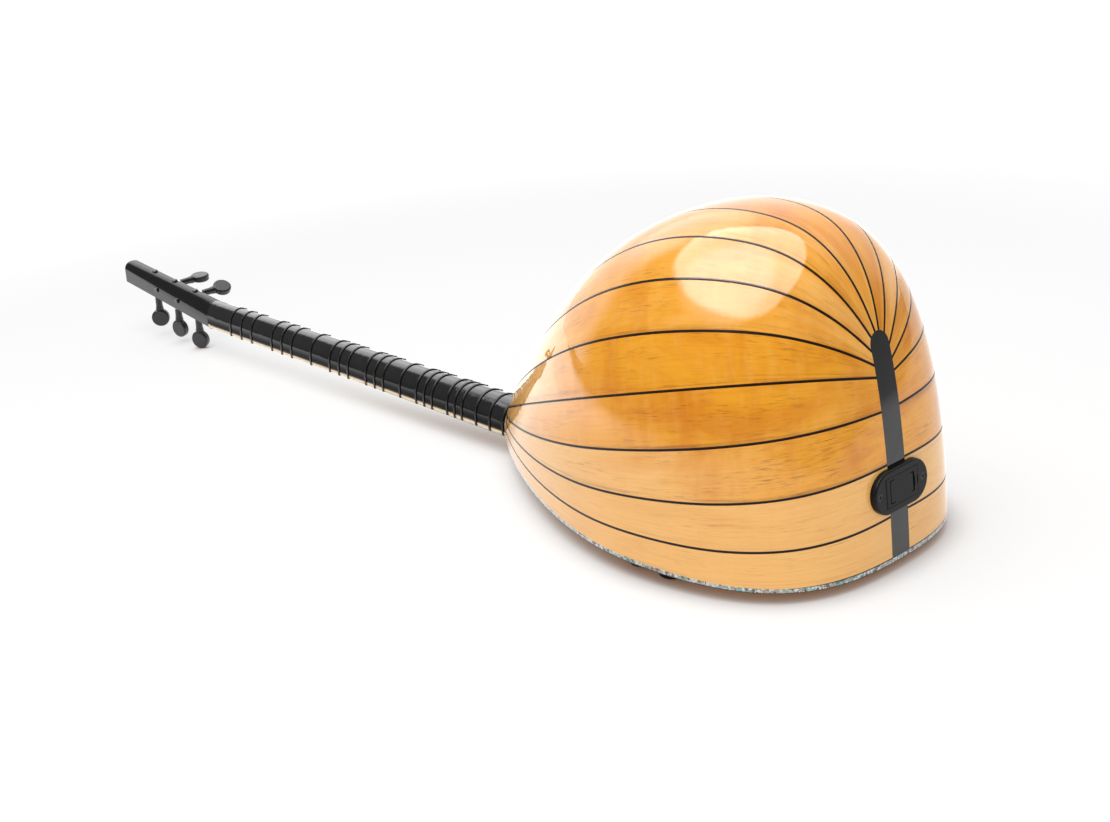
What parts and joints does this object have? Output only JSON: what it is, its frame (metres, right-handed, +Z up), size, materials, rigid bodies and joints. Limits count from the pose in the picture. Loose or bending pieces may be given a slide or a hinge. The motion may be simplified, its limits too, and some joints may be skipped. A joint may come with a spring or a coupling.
{
  "type": "baglama saz",
  "caption": "Long-necked lute lying face down: staved bowl with purfled ribs, tied-fret neck, leaning head with friction pegs, tail battery box and control knobs.",
  "frame": {"origin": "centre of the footprint's bounding box, on the floor on which the instrument rests face down on its bridge and its lowest peg", "axes": "+X from the peg head towards the bowl's tail, +Y away from the side with the control knobs, +Z up, from the soundboard towards the back of the bowl"},
  "size_m": [1.2044, 0.256, 0.2644],
  "materials": {
    "battery_case": "plain grey jacket",
    "black_plastic": "moulded black",
    "black_wood": "gloss black lacquer",
    "board_green": "solder-masked board",
    "bone": "polished bone colour",
    "bowl_wood": "glossy clear lacquer on honey-coloured hardwood",
    "brass_disc": "plain brass",
    "bright_steel": "nickel plated",
    "fret_line": "tied nylon line",
    "inlay": "mother-of-pearl effect mosaic strip",
    "maple": "satin maple",
    "peg_wood": "black stained hardwood, satin",
    "plain_wood": "unfinished softwood",
    "spruce": "clear satin lacquer on spruce",
    "string_steel": "plain and wound steel"
  },
  "bodies": {
    "instrument": {"bowl_rib_01": "bowl_wood", "bowl_rib_02": "bowl_wood", "bowl_rib_03": "bowl_wood", "bowl_rib_04": "bowl_wood", "bowl_rib_05": "bowl_wood", "bowl_rib_06": "bowl_wood", "bowl_rib_07": "bowl_wood", "bowl_rib_08": "bowl_wood", "bowl_rib_09": "bowl_wood", "bowl_rib_10": "bowl_wood", "bowl_rib_11": "bowl_wood", "bowl_rib_12": "bowl_wood", "bowl_rib_13": "bowl_wood", "bowl_rib_14": "bowl_wood", "bowl_rib_15": "bowl_wood", "bowl_rib_16": "bowl_wood", "bowl_rib_17": "bowl_wood", "rib_purflings": "black_wood", "tail_strip": "black_wood", "tail_block": "plain_wood", "neck_block": "plain_wood", "soundboard": "spruce", "binding": "inlay", "edge_line": "black_wood", "neck": "black_wood", "fingerboard": "maple", "nut": "bone", "tied_frets": "fret_line", "peg_head": "black_wood", "bridge": "maple", "string_anchor": "black_wood", "strings": "string_steel", "battery_housing": "black_plastic", "battery_hinge_pin": "bright_steel", "battery_screws": "bright_steel", "battery": "battery_case", "battery_contacts": "bright_steel", "potentiometers": "bright_steel", "pot_nuts": "bright_steel", "preamp_board": "board_green", "pickup": "brass_disc", "output_jack": "bright_steel", "output_jack_nut": "bright_steel"},
    "peg_front_1": {"peg_front_1": "peg_wood", "winding_front_1": "string_steel"},
    "peg_front_2": {"peg_front_2": "peg_wood", "winding_front_2": "string_steel"},
    "peg_front_3": {"peg_front_3": "peg_wood", "winding_front_3": "string_steel"},
    "peg_side_1": {"peg_side_1": "peg_wood", "winding_side_1": "string_steel"},
    "peg_side_2": {"peg_side_2": "peg_wood", "winding_side_2": "string_steel"},
    "volume_control": {"knob_volume": "black_plastic", "pot_shaft_volume": "bright_steel"},
    "tone_control": {"knob_tone": "black_plastic", "pot_shaft_tone": "bright_steel"},
    "battery_door": {"battery_door": "black_plastic"},
    "battery_latch": {"battery_latch": "black_plastic"}
  },
  "joints": [
    {"name": "peg_front_1_turn", "type": "hinge", "parent": "instrument", "child": "peg_front_1", "pos_m": [-0.53884, 0, 0.05908], "axis": [0.1359, 0, 0.9907], "continuous": true},
    {"name": "peg_front_2_turn", "type": "hinge", "parent": "instrument", "child": "peg_front_2", "pos_m": [-0.49029, 0, 0.05243], "axis": [0.1359, 0, 0.9907], "continuous": true},
    {"name": "peg_front_3_turn", "type": "hinge", "parent": "instrument", "child": "peg_front_3", "pos_m": [-0.44175, 0, 0.04577], "axis": [0.1359, 0, 0.9907], "continuous": true},
    {"name": "peg_side_1_turn", "type": "hinge", "parent": "instrument", "child": "peg_side_1", "pos_m": [-0.51343, 0.01245, 0.06771], "axis": [0, -1, 0], "continuous": true},
    {"name": "peg_side_2_turn", "type": "hinge", "parent": "instrument", "child": "peg_side_2", "pos_m": [-0.4629, 0.01329, 0.06078], "axis": [0, -1, 0], "continuous": true},
    {"name": "volume_turn", "type": "hinge", "parent": "instrument", "child": "volume_control", "pos_m": [0.43538, -0.10496, 0.01284], "axis": [-0.0316, 0, -0.9995], "range_deg": [0, 300]},
    {"name": "tone_turn", "type": "hinge", "parent": "instrument", "child": "tone_control", "pos_m": [0.46736, -0.10496, 0.01183], "axis": [-0.0316, 0, -0.9995], "range_deg": [0, 300]},
    {"name": "battery_door_swing", "type": "hinge", "parent": "instrument", "child": "battery_door", "pos_m": [0.60088, -0.0167, 0.06524], "axis": [0.004, 0, -1], "range_deg": [0, 90]},
    {"name": "battery_latch_slide", "type": "slide", "parent": "battery_door", "child": "battery_latch", "axis": [0, -1, 0], "range_m": [0, 0.0012], "stiffness_N_per_m": 200}
  ]
}
